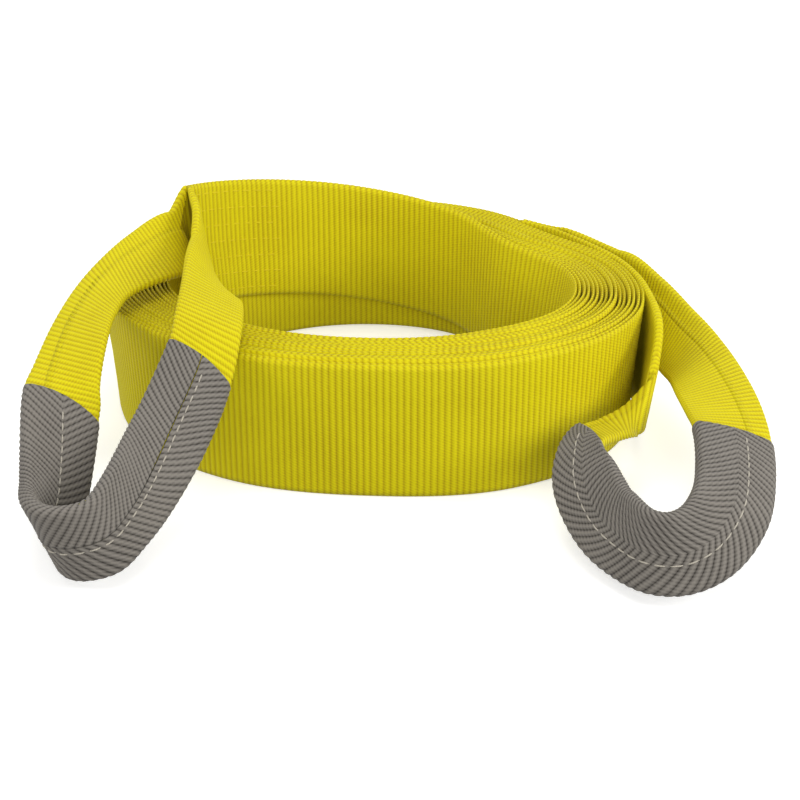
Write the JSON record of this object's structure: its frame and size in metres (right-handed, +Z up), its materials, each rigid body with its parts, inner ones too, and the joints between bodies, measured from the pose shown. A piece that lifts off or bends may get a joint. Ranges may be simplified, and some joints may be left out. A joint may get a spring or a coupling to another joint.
{
  "type": "webbing sling",
  "caption": "Flat two-ply webbing lifting sling with a reinforced eye at each end, coiled on its edge with both eyes hanging out over the coil.",
  "frame": {"origin": "middle of the sling's outline in plan, on the surface that the coil stands on", "axes": "+Z up along the width of the coiled webbing, +X from the left eye to the right eye, -Y towards the eyes"},
  "size_m": [0.3766, 0.4082, 0.117],
  "materials": {
    "webbing": "satin",
    "sleeve": "matte",
    "yellow_thread": "satin",
    "pale_thread": "satin"
  },
  "bodies": {
    "coil": {"body_inner_ply": "webbing", "body_outer_ply": "webbing", "left_base_stitching": "yellow_thread", "right_base_stitching": "yellow_thread", "left_eye_outer_leg": "webbing", "left_eye_inner_leg": "webbing", "right_eye_outer_leg": "webbing", "right_eye_inner_leg": "webbing"},
    "left_eye": {"left_eye_webbing": "webbing", "left_eye_sleeve": "sleeve", "left_sleeve_seam_stitching": "pale_thread", "left_sleeve_face_stitching": "pale_thread"},
    "right_eye": {"right_eye_webbing": "webbing", "right_eye_sleeve": "sleeve", "right_sleeve_seam_stitching": "pale_thread", "right_sleeve_face_stitching": "pale_thread"}
  },
  "joints": [
    {"name": "left_eye_lift", "type": "hinge", "parent": "coil", "child": "left_eye", "pos_m": [-0.1294, -0.0213, 0.104], "axis": [-1, 0, 0], "range_deg": [0, 60]},
    {"name": "right_eye_lift", "type": "hinge", "parent": "coil", "child": "right_eye", "pos_m": [0.1606, -0.0163, 0.079], "axis": [-1, 0, 0], "range_deg": [0, 60]}
  ]
}
